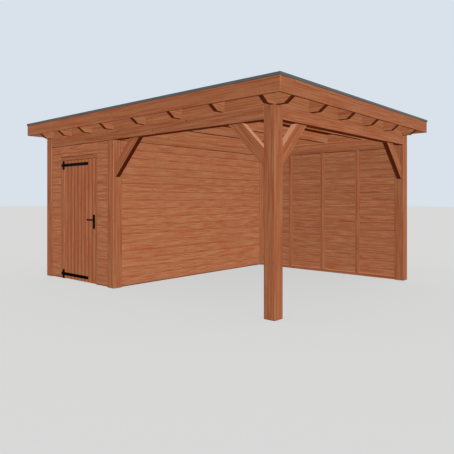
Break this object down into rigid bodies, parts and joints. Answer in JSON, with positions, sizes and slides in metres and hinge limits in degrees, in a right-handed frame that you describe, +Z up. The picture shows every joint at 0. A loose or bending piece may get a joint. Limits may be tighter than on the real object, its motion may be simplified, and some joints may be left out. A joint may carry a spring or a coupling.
{
  "type": "timber carport with storage room",
  "caption": "Flat-roofed timber carport open at the front and one side, with knee-braced posts and a boarded storage room behind a hinged door at one end.",
  "frame": {"origin": "on the ground at the middle of the roof's plan", "axes": "+X along the length, from the storage room to the open side; +Y from the open front with the door to the back wall; +Z up"},
  "size_m": [5.138, 4.018, 2.521],
  "materials": {
    "frame_timber": "stained sawn timber",
    "wall_boards": "stained planed boards",
    "door_boards": "stained planed boards",
    "deck_boards": "stained planed boards",
    "fascia_boards": "stained planed boards",
    "black_iron": "black powder coat",
    "grey_metal": "grey coated profile",
    "roof_rubber": "matt rubber sheet"
  },
  "bodies": {
    "building": {"back_beam": "frame_timber", "back_fascia": "fascia_boards", "back_infill": "frame_timber", "back_left_post": "frame_timber", "back_partition_post": "frame_timber", "back_right_post": "frame_timber", "back_trim": "grey_metal", "bay_back_boards": "wall_boards", "bay_back_frame": "frame_timber", "door_frame": "frame_timber", "door_stops": "frame_timber", "front_beam": "frame_timber", "front_corner_brace": "frame_timber", "front_fascia": "fascia_boards", "front_infill": "frame_timber", "front_left_boards": "wall_boards", "front_left_post": "frame_timber", "front_partition_brace": "frame_timber", "front_partition_post": "frame_timber", "front_rails": "frame_timber", "front_right_boards": "wall_boards", "front_right_post": "frame_timber", "front_top_boards": "wall_boards", "front_trim": "grey_metal", "hinge_plates": "black_iron", "left_beam": "frame_timber", "left_corbels": "frame_timber", "left_edge_joist": "frame_timber", "left_fascia": "fascia_boards", "left_trim": "grey_metal", "left_wall_boards": "wall_boards", "left_wall_frame": "frame_timber", "partition_beam": "frame_timber", "partition_boards": "wall_boards", "partition_frame": "frame_timber", "rafter_1": "frame_timber", "rafter_2": "frame_timber", "rafter_3": "frame_timber", "rafter_4": "frame_timber", "rafter_5": "frame_timber", "rafter_6": "frame_timber", "rafter_7": "frame_timber", "rafter_8": "frame_timber", "right_back_brace": "frame_timber", "right_beam": "frame_timber", "right_corbels": "frame_timber", "right_corner_brace": "frame_timber", "right_fascia": "fascia_boards", "right_trim": "grey_metal", "roof_deck": "deck_boards", "roof_membrane": "roof_rubber", "storage_back_boards": "wall_boards", "storage_back_frame": "frame_timber"},
    "door": {"door_leaf": "door_boards", "door_ledges": "door_boards", "hinge_straps": "black_iron", "handle_plate": "black_iron"},
    "lever": {"door_lever": "black_iron"}
  },
  "joints": [
    {"name": "door_hinge", "type": "hinge", "parent": "building", "child": "door", "pos_m": [-1.82853, -1.757, 0.945], "axis": [0, 0, -1], "range_deg": [0, 160]},
    {"name": "lever_turn", "type": "hinge", "parent": "door", "child": "lever", "pos_m": [-0.99903, -1.749, 0.961], "axis": [0, -1, 0], "range_deg": [0, 40]}
  ]
}
